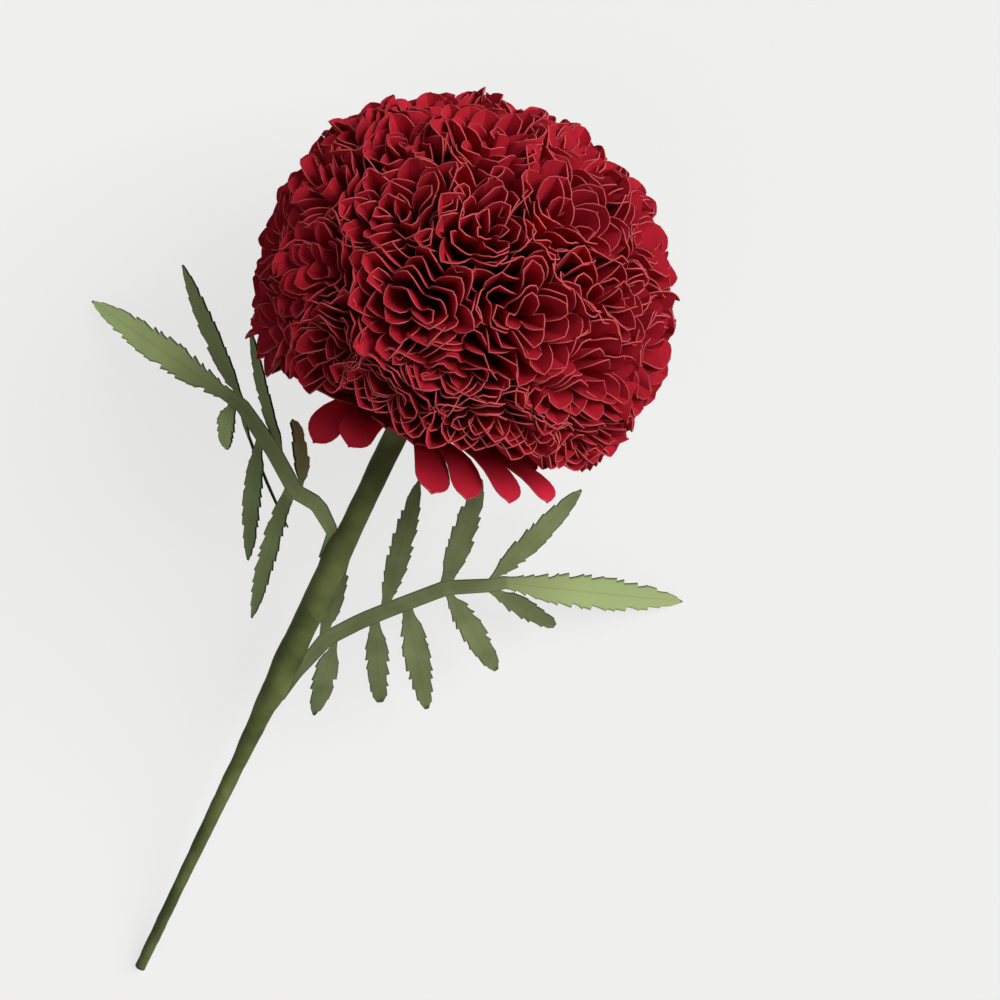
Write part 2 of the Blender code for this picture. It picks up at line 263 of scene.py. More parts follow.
def add_strip(shape, middle, side, reaches, share, open_by, dip):
    """One closed strip of petals round the floret's middle."""
    foot_line = strip_line(middle, side, reaches, share, open_by)
    edge_line = [crowded(direction) for direction in strip_line(middle, side, reaches, share, 1.0)]
    walked = [0.0]
    for a, b in zip(edge_line, edge_line[1:] + edge_line[:1]):
        walked.append(walked[-1] + (b - a).length)
    petals = max(3, round(walked[-1] * HEAD_R / PETAL_W))
    columns = petals * len(ACROSS)
    rows = tube_rows(shape, columns, len(UP))
    start = chance.random()
    sizes = []
    for _ in range(petals):
        sizes.append(
            {
                "tip": chance.gauss(0.0, TIP_SPREAD),
                "notch": NOTCH_DEEP * chance.uniform(*NOTCH_SHARE),
                "fold": chance.gauss(*FOLD),
                "lean": chance.gauss(0.0, LEAN_SPREAD),
                "twist": chance.gauss(*TWIST),
                "curl": chance.uniform(*CURL),
            }
        )
    for k in range(columns):
        petal, across = sizes[k // len(ACROSS)], ACROSS[k % len(ACROSS)]
        way = (start + (k // len(ACROSS) + (across + 1.0) / 2) / petals) % 1.0 * walked[-1]
        step = float(np.interp(way, walked, range(LINE_STEPS + 1)))
        first, part = int(step) % LINE_STEPS, step % 1.0
        second = (first + 1) % LINE_STEPS
        edge = edge_line[first].lerp(edge_line[second], part).normalized()
        foot = foot_line[first].lerp(foot_line[second], part).normalized()
        ahead, behind = edge_line[(first + 3) % LINE_STEPS], edge_line[(first - 2) % LINE_STEPS]
        outward = (ahead - behind).cross(edge).normalized()
        # The petal's round outline, from 1 at the crease to 0 in the notch
        lobe = 1.0 - 0.30 * abs(across) ** 1.25 - 0.70 * abs(across) ** 4.5
        lumps = noise.noise(edge * LUMP_SCALE + Vector((0.6, 4.4, 2.2))) * LUMP_H
        facing = laid @ edge
        fuller = FULLER * facing.x - FLATTER * max(0.0, facing.y)
        toward_shoulder = 0.82 * facing.y - 0.57 * facing.x
        fuller += SHOULDER * max(0.0, (toward_shoulder - SHOULDER_FROM) / (1.0 - SHOULDER_FROM))
        crown = CROWN_R + fuller + lumps - dip * (1.0 - share) ** 1.5 + petal["tip"] * lobe
        crown -= petal["notch"] * (1.0 - lobe)
        for row, up in zip(rows, UP):
            aside = petal["fold"] * (1.0 - 2.0 * abs(across)) * (0.3 + 0.7 * up)
            aside += petal["lean"] * up * up * (1.0 - across * across)
            aside += petal["twist"] * across * (1.0 - across**8) * up * up
            aside += petal["curl"] * up**4 * lobe
            radius = FOOT_R + (crown - FOOT_R) * up
            row[k].co = foot.lerp(edge, up**1.2).normalized() * radius + outward * aside
    for low, high in zip(rows, rows[1:]):
        for k in range(0, columns, len(ACROSS) // 2):
            shape.edges.get((low[k], high[k])).smooth = False


def put(name, shape, finishes, thickness=0.0, replaced=None):
    """Puts a finished piece in its place. Its finishes are those of its faces and of its cut edge."""
    for edge in shape.edges:
        edge.smooth = edge.smooth and not edge.is_boundary
    obj = bpy.data.objects.new(name, bpy.data.meshes.new(name))
    shape.to_mesh(obj.data)
    shape.free()
    bpy.context.scene.collection.objects.link(obj)
    for made in finishes:
        obj.data.materials.append(made)
    if thickness:
        sheet = obj.modifiers.new("thickness", "SOLIDIFY")
        sheet.thickness = thickness
        sheet.offset = 0.0
        sheet.material_offset_rim = 1
    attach(obj, "root")
    if replaced:
        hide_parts(replaced)


petal_face = finish("petal_face", (0.39, 0.0052, 0.018), (0.53, 0.0095, 0.029), 0.85, 1800.0, 90.0, 0.00004)
petal_edge = finish("petal_edge", (0.52, 0.064, 0.074), (0.66, 0.110, 0.115), 0.9, 1800.0, 90.0, 0.00002)
for number, middle in enumerate(floret_middles, 1):
    up_the_ball = Vector((0.0, 0.0, 1.0)) - middle * middle.z
    slew = chance.uniform(-SLEW, SLEW) * min(1.0, max(0.25, 0.6 + middle.z))
    side = up_the_ball.normalized() + middle.orthogonal().normalized() * slew
    side = (side - middle * middle.dot(side)).normalized()
    other_side = middle.cross(side)
    reaches = []
    for step in range(LINE_STEPS):
        turn = math.tau * step / LINE_STEPS
        reaches.append(room(middle, side * math.cos(turn) + other_side * math.sin(turn)))
    shape = bmesh.new()
    open_by = chance.uniform(*OPENING)
    dip = chance.uniform(0.0, DIP_MOST)
    for share in CLOSE_LOOPS if middle.z < CLOSE_BELOW else WIDE_LOOPS:
        add_strip(shape, middle, side, reaches, share, open_by, dip)
    bmesh.ops.recalc_face_normals(shape, faces=shape.faces)
    for face in shape.faces:
        face.smooth = True
    bmesh.ops.rotate(shape, verts=shape.verts, cent=(0.0, 0.0, 0.0), matrix=laid)
    bmesh.ops.translate(shape, verts=shape.verts, vec=ball_middle)
    for vert in shape.verts:
        vert.co.z = max(vert.co.z, PETAL_PAPER)
    put(f"petals_{number:02d}", shape, (petal_face, petal_edge), PETAL_PAPER, f"floret_{number:02d}")

# Skirt
# Two flat discs of the same paper close the underside of the ball, threaded on the wire one under the
# other and out of step. Their round-ended petals are creased. Some hang or arch from under the ball,
# the others are tucked up against it. Their paper is given a lighter red than the petals', as painted
# light where the ball keeps the lamp off them.
SKIRT_PETALS = 14
SKIRT_BORE_R = 0.0017
SKIRT_HUB_R = 0.0135
SKIRT_PETAL_W = 0.0096
SKIRT_LOBE = 0.36
SKIRT_CREASE = 0.0009
SKIRT_PAPER = 0.00035
# How far each disc is below the ball's middle, and how far round it is turned
SKIRT_LEVELS = {"skirt_upper": (0.0315, math.radians(6.14)), "skirt_lower": (0.0328, math.radians(21.14))}
# How the petals are set round the ball, in degrees and metres: (bearing, radius and level of the tip,
# sway of the tip, radius and level of the bend)
SKIRT_SET = (
    (-180.0, 0.0400, 0.0275, 0.0000, 0.0280, 0.0290),
    (-133.1, 0.0350, 0.0280, 0.0000, 0.0250, 0.0295),
    (-122.4, 0.0345, 0.0400, 0.0000, 0.0316, 0.0265),
    (-107.4, 0.0335, 0.0357, 0.0000, 0.0345, 0.0250),
    (-96.7, 0.0330, 0.0265, 0.0000, 0.0240, 0.0295),
    (-81.7, 0.0300, 0.0285, 0.0000, 0.0220, 0.0300),
    (-71.0, 0.0412, 0.0347, 0.0000, 0.0300, 0.0295),
    (-56.0, 0.0397, 0.0347, 0.0000, 0.0310, 0.0262),
    (-45.3, 0.0435, 0.0322, 0.0028, 0.0360, 0.0235),
    (-30.3, 0.0465, 0.0312, 0.0035, 0.0410, 0.0235),
    (-19.6, 0.0380, 0.0280, 0.0000, 0.0280, 0.0290),
    (-4.6, 0.0400, 0.0285, 0.0000, 0.0280, 0.0290),
    (30.0, 0.0420, 0.0285, 0.0000, 0.0290, 0.0285),
    (180.0, 0.0400, 0.0275, 0.0000, 0.0280, 0.0290),
)
SKIRT_ACROSS = (-1.0, -0.55, 0.0, 0.55, 1.0)
# Each row across a petal is (share of its length, share of its width)
SKIRT_ROWS = (
    (0.12, 0.64),
    (0.30, 0.76),
    (0.48, 0.88),
    (0.64, 0.96),
    (0.76, 1.0),
    (0.84, 0.99),
    (0.905, 0.88),
    (0.955, 0.68),
    (0.985, 0.44),
    (1.0, 0.20),
)
# A lighter copy of the petal paper: painted light on the skirt, which lies in the ball's shadow
skirt_face_painted_light = finish("skirt_face_painted_light", (0.50, 0.0080, 0.027), (0.66, 0.014, 0.041), 0.85, 1800.0, 90.0, 0.00004)
for name, (level, turned) in SKIRT_LEVELS.items():
    shape = bmesh.new()
    columns = len(SKIRT_ACROSS)
    bore, hub = tube_rows(shape, columns * SKIRT_PETALS, 2)
    pitch = math.tau / SKIRT_PETALS
    for k in range(columns * SKIRT_PETALS):
        angle = turned + pitch * (k // columns) + pitch * SKIRT_LOBE * SKIRT_ACROSS[k % columns]
        heading = Vector((math.cos(angle), math.sin(angle), 0.0))
        bore[k].co = heading * SKIRT_BORE_R - Vector((0.0, 0.0, level))
        hub[k].co = heading * SKIRT_HUB_R - Vector((0.0, 0.0, level))
    for petal in range(SKIRT_PETALS):
        angle = turned + pitch * petal
        outward = Vector((math.cos(angle), math.sin(angle), 0.0))
        aside = Vector((-math.sin(angle), math.cos(angle), 0.0))
        facing = (math.degrees(angle) + 180.0) % 360.0 - 180.0
        bearings, *settings = zip(*SKIRT_SET)
        settings = [float(np.interp(facing, bearings, way)) for way in settings]
        tip_r, tip_level, sway, bend_r, bend_level = settings
        row = hub[columns * petal:columns * (petal + 1)]
        for share, width in SKIRT_ROWS:
            row = grown_row(shape, row, False)
            from_hub = (1.0 - share) ** 2
            from_bend = 2.0 * share * (1.0 - share)
            from_tip = share * share
            radius = SKIRT_HUB_R * from_hub + bend_r * from_bend + tip_r * from_tip
            below = level * from_hub + bend_level * from_bend + tip_level * from_tip
            for across, vert in zip(SKIRT_ACROSS, row):
                wide = across * width * SKIRT_PETAL_W / 2 + sway * from_tip
                vert.co = outward * radius + aside * wide
                vert.co.z = -(below + SKIRT_CREASE * share * (1.0 - abs(across)))
    bmesh.ops.recalc_face_normals(shape, faces=shape.faces)
    for face in shape.faces:
        face.smooth = True
    bmesh.ops.rotate(shape, verts=shape.verts, cent=(0.0, 0.0, 0.0), matrix=laid)
    bmesh.ops.translate(shape, verts=shape.verts, vec=ball_middle)
    put(name + "_disc", shape, (skirt_face_painted_light, petal_edge), SKIRT_PAPER, name)

# Stem tape
# Stretchy waxed crepe tape is wound down the wire in a slanting spiral, each turn lapping the last, and
# built up thick from the skirt to below the leaves. Its laps show as faint slanting steps, with painted
# shade in the step under each lapping edge and a faint painted highlight on the edge itself.
TAPE_TOP = 0.0333
TAPE_PITCH = 0.0125
TAPE_COLUMNS = 28
TAPE_ROWS = 212
TAPE_END_GAP = 0.0002
LAP_STEP = 0.00005
# The creases of the crepe, as (scale, height), are longer along the stem than round it
CREASES = ((1.0, 0.00020), (3.1, 0.00008))
CREASE_LENGTH = 0.009
# Radius of the tape from its top down, as (distance, radius)
TAPE_PROFILE = (
    (0.000, 0.0034),
    (0.006, 0.0032),
    (0.035, 0.0031),
    (0.043, 0.0034),
    (0.055, 0.0037),
    (0.067, 0.0036),
    (0.082, 0.0037),
    (0.091, 0.0033),
    (0.100, 0.0027),
    (0.116, 0.0022),
    (0.139, 0.0019),
    (0.159, 0.0017),
    (STEM_END - TAPE_TOP, TAPE_END_R),
)


def tape_radius(distance):
    """Outer radius of the tape at this distance below the middle of the ball."""
    marks, radii = zip(*TAPE_PROFILE)
    return float(np.interp(distance - TAPE_TOP, marks, radii))


crepe = finish("crepe_tape", (0.066, 0.088, 0.025), (0.158, 0.184, 0.054), 0.7, 2200.0, 85.0, 0.00012)
nodes, links = crepe.node_tree.nodes, crepe.node_tree.links
wrap_map = nodes.new("ShaderNodeUVMap")
wrap_map.uv_map = "wrap"
wrap_parts = nodes.new("ShaderNodeSeparateXYZ")
slant = nodes.new("ShaderNodeMath")
slant.operation = "SUBTRACT"
lap = nodes.new("ShaderNodeMath")
lap.operation = "FRACT"
# Each lap's tone runs from painted shade just under the next turn's edge to a faint painted highlight at its
# own raised edge
lap_painted_shading = nodes.new("ShaderNodeMapRange")
lap_painted_shading.inputs["To Min"].default_value = 0.92
lap_painted_shading.inputs["To Max"].default_value = 1.04
tones_with_painted_lap_shading = nodes.new("ShaderNodeVectorMath")
tones_with_painted_lap_shading.operation = "MULTIPLY"
raised = nodes.new("ShaderNodeMath")
raised.operation = "ADD"
links.new(wrap_map.outputs["UV"], wrap_parts.inputs["Vector"])
links.new(wrap_parts.outputs["Y"], slant.inputs[0])
links.new(wrap_parts.outputs["X"], slant.inputs[1])
links.new(slant.outputs["Value"], lap.inputs[0])
links.new(lap.outputs["Value"], lap_painted_shading.inputs["Value"])
links.new(nodes["tones"].outputs["Color"], tones_with_painted_lap_shading.inputs[0])
links.new(lap_painted_shading.outputs["Result"], tones_with_painted_lap_shading.inputs[1])
links.new(tones_with_painted_lap_shading.outputs["Vector"], nodes["Principled BSDF"].inputs["Base Color"])
links.new(nodes["grained"].outputs["Fine"], raised.inputs[0])
links.new(lap.outputs["Value"], raised.inputs[1])
links.new(raised.outputs["Value"], nodes["bump"].inputs["Height"])


def wound(shape, rows, places):
    """Shapes a tube into wound tape. Each row's place is (distance, offset of its centre, widening)."""
    wrap = shape.loops.layers.uv.new("wrap")
    columns = len(rows[0])
    marks = {}
    for j, (row, (distance, offset, widen)) in enumerate(zip(rows, places)):
        for k, vert in enumerate(row):
            angle = math.tau * k / columns
            lapping = (distance / TAPE_PITCH - k / columns) % 1.0
            radius = tape_radius(distance) - LAP_STEP * (1.0 - lapping)
            around = Vector((math.cos(angle), math.sin(angle), distance / CREASE_LENGTH))
            radius += sum(noise.noise(around * scale) * height for scale, height in CREASES)
            out = Vector((math.cos(angle), math.sin(angle), 0.0))
            vert.co = out * radius * widen + offset + Vector((0.0, 0.0, -distance))
            marks[vert] = (k, distance / TAPE_PITCH)
    for face in shape.faces:
        seam = any(marks[v][0] == columns - 1 for v in face.verts if v in marks)
        for loop in face.loops:
            k, along = marks.get(loop.vert, (0, 0.0))
            loop[wrap].uv = ((k / columns) + (1.0 if seam and k == 0 else 0.0), along)
        face.smooth = True
    bmesh.ops.recalc_face_normals(shape, faces=shape.faces)
    bmesh.ops.rotate(shape, verts=shape.verts, cent=(0.0, 0.0, 0.0), matrix=laid)
    bmesh.ops.translate(shape, verts=shape.verts, vec=ball_middle)


shape = bmesh.new()
tape_rows = tube_rows(shape, TAPE_COLUMNS, TAPE_ROWS)
bmesh.ops.contextual_create(shape, geom=tape_rows[0])
bmesh.ops.contextual_create(shape, geom=tape_rows[-1])
centred = Vector((0.0, 0.0, 0.0))
tape_places = []
for j in range(TAPE_ROWS):
    distance = TAPE_TOP + (STEM_END - TAPE_END_GAP - TAPE_TOP) * j / (TAPE_ROWS - 1)
    tape_places.append((distance, centred, 1.0))
wound(shape, tape_rows, tape_places)
put("wound_tape", shape, (crepe,), 0.0, "stem_tape")

# Leaves
# Each leaf is cut from one sheet of stiff green card with toothed leaflets, its edges left dark by the
# cutting. The stalk is laid along the stem and held by turns of the same tape. Leaflets and stalks are
# made paler toward a pale green, partly as the card's own lighter tone and partly as painted light: the
# upper leaf, its terminal leaflet and its stalk most, as they lie in the ball's shadow.
CARD = 0.0005
STALK_W = 0.0030
STALK_STEPS = 24
STALK_CREASE = 0.0004
LEAFLET_BASE = 0.0030
# Width of a leaflet along its length, and of a stalk along its own in metres
LEAFLET_ENVELOPE = (
    (0.0, 0.54),
    (0.12, 0.74),
    (0.30, 0.95),
    (0.45, 1.00),
    (0.62, 0.94),
    (0.80, 0.70),
    (0.93, 0.36),
    (1.0, 0.05),
)
STALK_WIDTHS = ((0.0, 0.0022), (0.12, 0.0031), (0.28, 0.0042), (0.75, 0.0042), (1.0, 0.0036))
# Each tooth is cut in four rows, and its depth is a share of the leaflet's half width
TOOTH = 0.0033
TOOTH_ROWS = (0.03, 0.47, 0.53, 0.97)
TOOTH_DEPTH = (0.04, 0.34)
TOOTH_SLIP = 0.20
# A leaflet leaves the stalk over this length, is bowed, and is raised at its sides
EASE_LENGTH = 0.005
FIRST_ROW = 0.0012
BOW = (0.0002, 0.0008)
RAISED = 0.13
POINT_W = 0.0002
TIP_WAIST = 0.22
# Where a stalk's foot lies under the tape: (distance down the stem from its seat, gap to the stem)
FOOT_POINTS = ((0.0005, 0.0004), (0.0085, -0.0002))
# The turns of tape over the foot start a little above the seat
COLLAR_ROWS = 15
COLLAR_ABOVE = 0.001
COLLAR_LENGTH = 0.013
COLLAR_OFFSET = 0.0004
# Each leaflet is (place along the stalk, side, bearing, dip, length, width, roll, bluntness, paleness),
# its paleness partly the card's lighter tone and partly painted light
LEAVES = {
    "leaf_upper": {
        "seat": 0.073,
        "bearing": 139.3,
        "lift": 0.0015,
        # The upper leaf's high paleness is mostly painted light, lifting it out of the ball's shadow
        "paleness_and_painted_light": 2.2,
        "stalk_paleness_and_painted_light": 0.60,
        "path": (
            (0.0000, 0.0000, 0.0000),
            (0.0067, -0.0042, 0.0040),
            (0.0134, -0.0032, 0.0050),
            (0.0245, -0.0071, 0.0020),
            (0.0383, -0.0099, -0.0050),
            (0.0422, -0.0092, -0.0080),
        ),
        "leaflets": (
            (0.0164, -1, -40.0, 38.0, 0.0200, 0.0064, 18.0, 1.1, 1.6),
            (0.0283, -1, -34.0, 20.0, 0.0325, 0.0064, -52.0, 0.0, 0.6),
            (0.0465, -1, -26.0, 6.0, 0.0375, 0.0064, 8.0, 0.0, 0.6),
            (0.0164, 1, 114.0, 12.0, 0.0373, 0.0058, 14.0, 0.0, 0.5),
            (0.0320, 1, 123.0, 21.0, 0.0360, 0.0064, -8.0, 0.1, 0.6),
            (0.0400, 1, 150.0, 17.0, 0.0334, 0.0058, 12.0, 0.0, 0.8),
            (0.0465, 1, 114.0, 52.0, 0.0225, 0.0066, 0.0, 0.5, 1.7),
        ),
        "tip": (0.0881, 0.0),
        "tip_width": 0.0085,
    },
    "leaf_lower": {
        "seat": 0.118,
        "bearing": 7.9,
        "lift": 0.0010,
        "paleness_and_painted_light": 1.05,
        "stalk_paleness_and_painted_light": 0.03,
        "path": (
            (0.0000, 0.0000, 0.0000),
            (0.0079, 0.0085, -0.0007),
            (0.0180, 0.0120, -0.0012),
            (0.0273, 0.0142, -0.0022),
            (0.0419, 0.0172, -0.0047),
            (0.0538, 0.0155, -0.0082),
            (0.0576, 0.0156, -0.0092),
        ),
        "leaflets": (
            (0.0124, 1, 70.0, 6.0, 0.0265, 0.0064, 0.0, 0.1, 0.0),
            (0.0304, 1, 67.0, 7.0, 0.0345, 0.0064, 0.0, 0.0, 0.0),
            (0.0476, 1, 63.0, 10.0, 0.0290, 0.0069, 0.0, 0.1, 0.0),
            (0.0606, 1, 36.0, 13.0, 0.0344, 0.0064, 0.0, 0.2, 0.1),
            (0.0124, -1, -113.0, 8.0, 0.0213, 0.0064, 0.0, 0.1, 0.0),
            (0.0253, -1, -95.0, 10.0, 0.0230, 0.0064, 0.0, 0.8, 0.05),
            (0.0350, -1, -88.0, 10.0, 0.0293, 0.0074, 0.0, 0.4, 0.1),
            (0.0476, -1, -68.0, 13.0, 0.0262, 0.0069, 0.0, 0.5, 0.1),
            (0.0606, -1, -42.0, 22.0, 0.0214, 0.0058, 0.0, 0.7, 0.05),
        ),
        "tip": (0.1059, 0.0),
        "tip_width": 0.0096,
    },
}

leaf_face = finish("leaf_face", (0.110, 0.130, 0.052), (0.160, 0.190, 0.082), 0.85, 1500.0, 110.0, 0.00005)
leaf_edge = finish("leaf_edge", (0.012, 0.015, 0.012), (0.030, 0.034, 0.024), 0.9, 1500.0, 110.0, 0.00003)
nodes, links = leaf_face.node_tree.nodes, leaf_face.node_tree.links
# Mix toward pale green by the pale attribute: partly the card's lighter tone, partly painted light
pale_tone_and_painted_light = nodes.new("ShaderNodeAttribute")
pale_tone_and_painted_light.attribute_name = "pale_tone_and_painted_light"
pale_tone_and_painted_light_mix = nodes.new("ShaderNodeMix")
pale_tone_and_painted_light_mix.data_type = "RGBA"
pale_tone_and_painted_light_mix.clamp_factor = False
pale_tone_and_painted_light_mix.inputs["B"].default_value = (0.345, 0.425, 0.175, 1.0)
outline_map = nodes.new("ShaderNodeUVMap")
outline_map.uv_map = "outline"
outline_parts = nodes.new("ShaderNodeSeparateXYZ")
off_middle = nodes.new("ShaderNodeMath")
off_middle.operation = "ABSOLUTE"
margin = nodes.new("ShaderNodeMapRange")
margin.inputs["From Min"].default_value = 0.86
margin.inputs["From Max"].default_value = 1.0
margin.inputs["To Min"].default_value = 0.0
margin.inputs["To Max"].default_value = 0.75
rib = nodes.new("ShaderNodeMapRange")
rib.inputs["From Min"].default_value = 0.02
rib.inputs["From Max"].default_value = 0.12
rib.inputs["To Min"].default_value = 0.13
rib.inputs["To Max"].default_value = 0.0
shaded = nodes.new("ShaderNodeMath")
shaded.operation = "ADD"
darkened = nodes.new("ShaderNodeMix")
darkened.data_type = "RGBA"
darkened.inputs["B"].default_value = (0.035, 0.042, 0.020, 1.0)
links.new(nodes["tones"].outputs["Color"], pale_tone_and_painted_light_mix.inputs["A"])
links.new(pale_tone_and_painted_light.outputs["Fac"], pale_tone_and_painted_light_mix.inputs["Factor"])
links.new(outline_map.outputs["UV"], outline_parts.inputs["Vector"])
links.new(outline_parts.outputs["X"], off_middle.inputs[0])
links.new(off_middle.outputs["Value"], margin.inputs["Value"])
links.new(off_middle.outputs["Value"], rib.inputs["Value"])
links.new(margin.outputs["Result"], shaded.inputs[0])
links.new(rib.outputs["Result"], shaded.inputs[1])
links.new(shaded.outputs["Value"], darkened.inputs["Factor"])
links.new(pale_tone_and_painted_light_mix.outputs["Result"], darkened.inputs["A"])
links.new(darkened.outputs["Result"], nodes["Principled BSDF"].inputs["Base Color"])


def card_row(shape, row, paleness_and_painted_light=0.0):
    """Extrudes a left, middle, right row of card and marks its faces for the margin and the rib."""
    fresh = grown_row(shape, row, False)
    across = {vert: k - 1.0 for line in (row, fresh) for k, vert in enumerate(line)}
    for vert in fresh:
        vert[shape.verts.layers.float["pale_tone_and_painted_light"]] = paleness_and_painted_light
        for face in vert.link_faces:
            for loop in face.loops:
                if all(v in across for v in face.verts):
                    loop[shape.loops.layers.uv["outline"]].uv = (across[loop.vert], 0.0)
    return fresh


def add_leaflet(shape, row, start, heading, normal, length, width, roll, blunt, paleness_and_painted_light, waist=0.0):
    """A toothed leaflet that grows from this row. Its sides are uneven and it rolls as it leaves."""
    teeth = max(5, round(length / TOOTH))
    marks, widths = zip(*LEAFLET_ENVELOPE)
    bow = chance.uniform(*BOW)
    depths = [[chance.uniform(*TOOTH_DEPTH) for _ in range(teeth + 2)] for _ in range(2)]
    slip = chance.uniform(0.0, 1.0)
    seam = [vert.co - start for vert in row]
    for tooth in range(teeth):
        for part in TOOTH_ROWS:
            even = (tooth + part) / teeth
            shift = TOOTH_SLIP / teeth * math.sin(math.tau * (even * teeth * 0.37 + slip))
            share = even + shift * math.sin(math.pi * even)
            if share * length < FIRST_ROW:
                continue
            # The leaflet's paleness, partly painted light, comes in from its foot
            row = card_row(shape, row, paleness_and_painted_light * min(1.0, 0.35 + 1.6 * share))
            eased = min(1.0, share * length / EASE_LENGTH)
            eased = eased * eased * (3.0 - 2.0 * eased)
            rolled = Matrix.Rotation(math.radians(roll) * eased, 3, heading) @ normal
            across = rolled.cross(heading).normalized()
            lift = heading.cross(across).normalized()
            for k, vert in enumerate(row):
                saw = even * teeth + (0.5 if k == 2 else 0.0)
                cut = 0.0 if k == 1 else depths[k // 2][int(saw)] * (1.0 - (saw % 1.0) ** 1.4) * eased
                wide = float(np.interp(share, marks, widths)) * (1.06 - cut)
                wide -= waist * max(0.0, 1.0 - share / 0.35)
                wide += blunt * max(0.0, share - 0.75) * 2.0 * (1.0 - 0.5 * max(0.0, share - 0.9) / 0.1)
                aside = (k - 1) * wide * width / 2
                along = start + heading * (length * share) + seam[k] * (1.0 - eased)
                vert.co = along + across * (aside * eased)
                vert.co += lift * (RAISED * abs(aside) * eased + bow * math.sin(math.pi * share))
    row = card_row(shape, row, paleness_and_painted_light)
    for k, vert in enumerate(row):
        end_share = 1.0 if k == 1 else 0.985
        end_aside = (k - 1) * (POINT_W + blunt * width * 0.10)
        vert.co = start + heading * (length * end_share) + across * end_aside


for name, plan in LEAVES.items():
    course = math.radians(plan["bearing"])
    turn_leaf = Matrix.Rotation(course, 3, "Z")
    path = [Vector(point) for point in plan["path"]]
    first = turn_leaf @ (path[1] - path[0])
    stem = laid @ Vector((0.0, 0.0, 1.0))
    outward = first - stem * first.dot(stem)
    outward.z = 0.0
    outward.normalize()
    stand = tape_radius(plan["seat"]) + 0.0003 + (STALK_W + CARD) / 2
    foot = ball_middle - stem * plan["seat"] + outward * stand
    foot.z += plan["lift"]
    # The stalk's foot runs down beside the stem, where the tape holds it
    path.pop(0)
    for down, clear in FOOT_POINTS:
        beside = ball_middle - stem * (plan["seat"] + down)
        beside += outward * (tape_radius(plan["seat"] + down) + clear)
        beside.z += plan["lift"] * 0.5
        path.insert(0, turn_leaf.transposed() @ (beside - foot))
    total = sum((b - a).length for a, b in zip(path, path[1:]))
    # The foot makes the stalk longer, so that every leaflet is this much farther along it
    added = (path[1] - path[0]).length + (path[2] - path[1]).length - Vector(plan["path"][1]).length
    stations = {0.0, total}
    for leaflet in plan["leaflets"]:
        station = leaflet[0] + added
        stations |= {station - LEAFLET_BASE / 2, station, station + LEAFLET_BASE / 2}
    for k in range(1, STALK_STEPS):
        if min(abs(total * k / STALK_STEPS - other) for other in stations) > LEAFLET_BASE / 4:
            stations.add(total * k / STALK_STEPS)
    lengths = [0.0]
    for a, b in zip(path, path[1:]):
        lengths.append(lengths[-1] + (b - a).length)
    shape = bmesh.new()
    shape.loops.layers.uv.new("outline")
    shape.verts.layers.float.new("pale_tone_and_painted_light")
    rows, chain = {}, None
    for station in sorted(stations):
        here, near = [
            Vector([float(np.interp(mark, lengths, [p[axis] for p in path])) for axis in range(3)])
            for mark in (station, station + (0.001 if station < total / 2 else -0.001))
        ]
        heading = (near - here) * (1.0 if station < total / 2 else -1.0)
        aside = Vector((0.0, 0.0, 1.0)).cross(heading).normalized()
        width = float(np.interp(station / total, *zip(*STALK_WIDTHS)))
        if chain is None:
            chain = [shape.verts.new(), shape.verts.new(), shape.verts.new()]
            shape.edges.new(chain[:2])
            shape.edges.new(chain[1:])
        else:
            chain = card_row(shape, chain, plan["stalk_paleness_and_painted_light"])
        for k, vert in enumerate(chain):
            vert.co = here + aside * ((k - 1) * width / 2) - Vector((0.0, 0.0, STALK_CREASE * (k == 1)))
        rows[station] = chain
    for station, side, bearing, dip, length, width, roll, blunt, paleness_and_painted_light in plan["leaflets"]:
        station += added
        turn, fall = math.radians(bearing), math.radians(dip)
        heading = Vector((math.cos(turn) * math.cos(fall), math.sin(turn) * math.cos(fall), -math.sin(fall)))
        marks = (station - LEAFLET_BASE / 2, station, station + LEAFLET_BASE / 2)
        marks = marks[::-1] if side > 0 else marks
        seam = [rows[mark][1 + side] for mark in marks]
        normal = (seam[2].co - seam[0].co).cross(heading).normalized()
        normal = normal if normal.z > 0.0 else -normal
        start = seam[1].co.copy()
        add_leaflet(shape, seam, start, heading, normal, length, width, roll, blunt, paleness_and_painted_light)
    end, tip = rows[max(stations)], Vector((*plan["tip"], CARD / 2 - foot.z))
    start = (end[0].co + end[2].co) / 2
    heading = (tip - start).normalized()
    normal = heading.cross(Vector((0.0, 0.0, 1.0)).cross(heading)).normalized()
    length = (tip - start).length
    add_leaflet(
        shape, end, start, heading, normal, length, plan["tip_width"], 0.0, 0.0, plan["paleness_and_painted_light"], TIP_WAIST
    )
    bmesh.ops.recalc_face_normals(shape, faces=shape.faces)
    for face in shape.faces:
        face.smooth = True
    bmesh.ops.rotate(shape, verts=shape.verts, cent=(0.0, 0.0, 0.0), matrix=turn_leaf)
    bmesh.ops.translate(shape, verts=shape.verts, vec=foot)
    put(name + "_card", shape, (leaf_face, leaf_edge), CARD, name)
    # A few more turns of tape over the foot
    shape = bmesh.new()
    collar_rows = tube_rows(shape, TAPE_COLUMNS, COLLAR_ROWS)
    bmesh.ops.contextual_create(shape, geom=collar_rows[0])
    bmesh.ops.contextual_create(shape, geom=collar_rows[-1])
    toward = laid.transposed() @ (outward + Vector((0.0, 0.0, 0.5))).normalized()
    collar_places = []
    for j in range(COLLAR_ROWS):
        swell = math.sin(math.pi * j / (COLLAR_ROWS - 1)) ** 0.8
        place = plan["seat"] - COLLAR_ABOVE + COLLAR_LENGTH * j / (COLLAR_ROWS - 1)
        collar_places.append((place, toward * COLLAR_OFFSET * swell, 0.97 + 0.10 * swell))
    wound(shape, collar_rows, collar_places)
    put(name + "_collar", shape, (crepe,), 0.0, None)

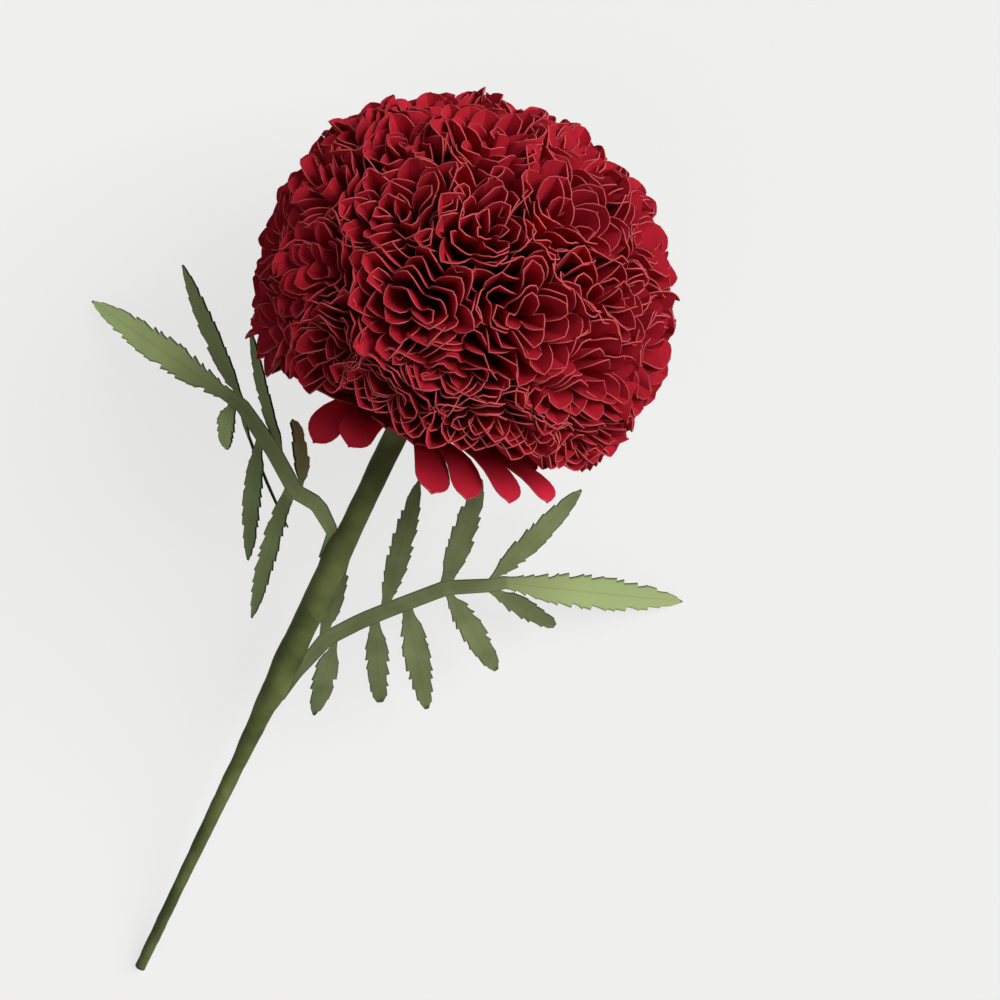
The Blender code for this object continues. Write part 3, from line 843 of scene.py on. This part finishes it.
# Floor, light and camera
# The flower lies on a wide sheet of matt pale paper under a broad lamp from the upper right and a weak
# one from the lower left. The camera is 0.7 m over the ball's middle and looks nearly straight down.
FLOOR_SIZE = 3.0
FLOOR_GLOW = 0.725
WORLD_LEVEL = 0.20
CAMERA_LENS = 100.0
CAMERA_SENSOR = 36.0
CAMERA_FROM_BALL = Vector((0.01024, 0.06092, 0.71021))
CAMERA_TILT = math.radians(-9.0)
# Each lamp is (name, direction to it, how wide it is in degrees, level)
LAMPS = (
    ("key", (0.70, 0.36, 0.62), 45.0, 3.1),
    ("fill", (-0.50, -0.50, 0.70), 70.0, 0.32),
)
floor_shape = bmesh.new()
bmesh.ops.create_grid(floor_shape, x_segments=1, y_segments=1, size=FLOOR_SIZE)
floor = bpy.data.objects.new("floor", bpy.data.meshes.new("floor"))
floor_shape.to_mesh(floor.data)
floor_shape.free()
bpy.context.scene.collection.objects.link(floor)
floor_paper = bpy.data.materials.new("floor_paper")
floor_paper.use_nodes = True
nodes, links = floor_paper.node_tree.nodes, floor_paper.node_tree.links
shader = nodes["Principled BSDF"]
shader.inputs["Base Color"].default_value = (0.16, 0.16, 0.159, 1.0)
shader.inputs["Roughness"].default_value = 0.9
shader.inputs["Specular IOR Level"].default_value = 0.1
shader.inputs["Emission Color"].default_value = (1.0, 1.0, 0.995, 1.0)
seen = nodes.new("ShaderNodeLightPath")
glow = nodes.new("ShaderNodeMath")
glow.operation = "MULTIPLY"
glow.inputs[1].default_value = FLOOR_GLOW
seen_so_far = seen.outputs["Is Camera Ray"]
for ray in ("Is Glossy Ray", "Is Transmission Ray"):
    also = nodes.new("ShaderNodeMath")
    also.operation = "MAXIMUM"
    links.new(seen_so_far, also.inputs[0])
    links.new(seen.outputs[ray], also.inputs[1])
    seen_so_far = also.outputs["Value"]
links.new(seen_so_far, glow.inputs[0])
links.new(glow.outputs["Value"], shader.inputs["Emission Strength"])
floor.data.materials.append(floor_paper)

world = bpy.data.worlds.new("studio")
bpy.context.scene.world = world
world.use_nodes = True
world.node_tree.nodes["Background"].inputs["Color"].default_value = (1.0, 1.0, 1.0, 1.0)
world.node_tree.nodes["Background"].inputs["Strength"].default_value = WORLD_LEVEL
for lamp_name, toward, spread, level in LAMPS:
    lamp = bpy.data.objects.new(lamp_name, bpy.data.lights.new(lamp_name, "SUN"))
    lamp.data.angle = math.radians(spread)
    lamp.data.energy = level
    lamp.rotation_euler = (-Vector(toward)).to_track_quat("-Z", "Y").to_euler()
    bpy.context.scene.collection.objects.link(lamp)

bpy.context.scene.view_settings.view_transform = "Standard"
camera = bpy.data.objects.new("camera", bpy.data.cameras.new("camera"))
bpy.context.scene.collection.objects.link(camera)
bpy.context.scene.camera = camera
camera.data.lens = CAMERA_LENS
camera.data.sensor_width = CAMERA_SENSOR
camera.location = ball_middle + CAMERA_FROM_BALL
camera.rotation_euler = (CAMERA_TILT, 0.0, 0.0)
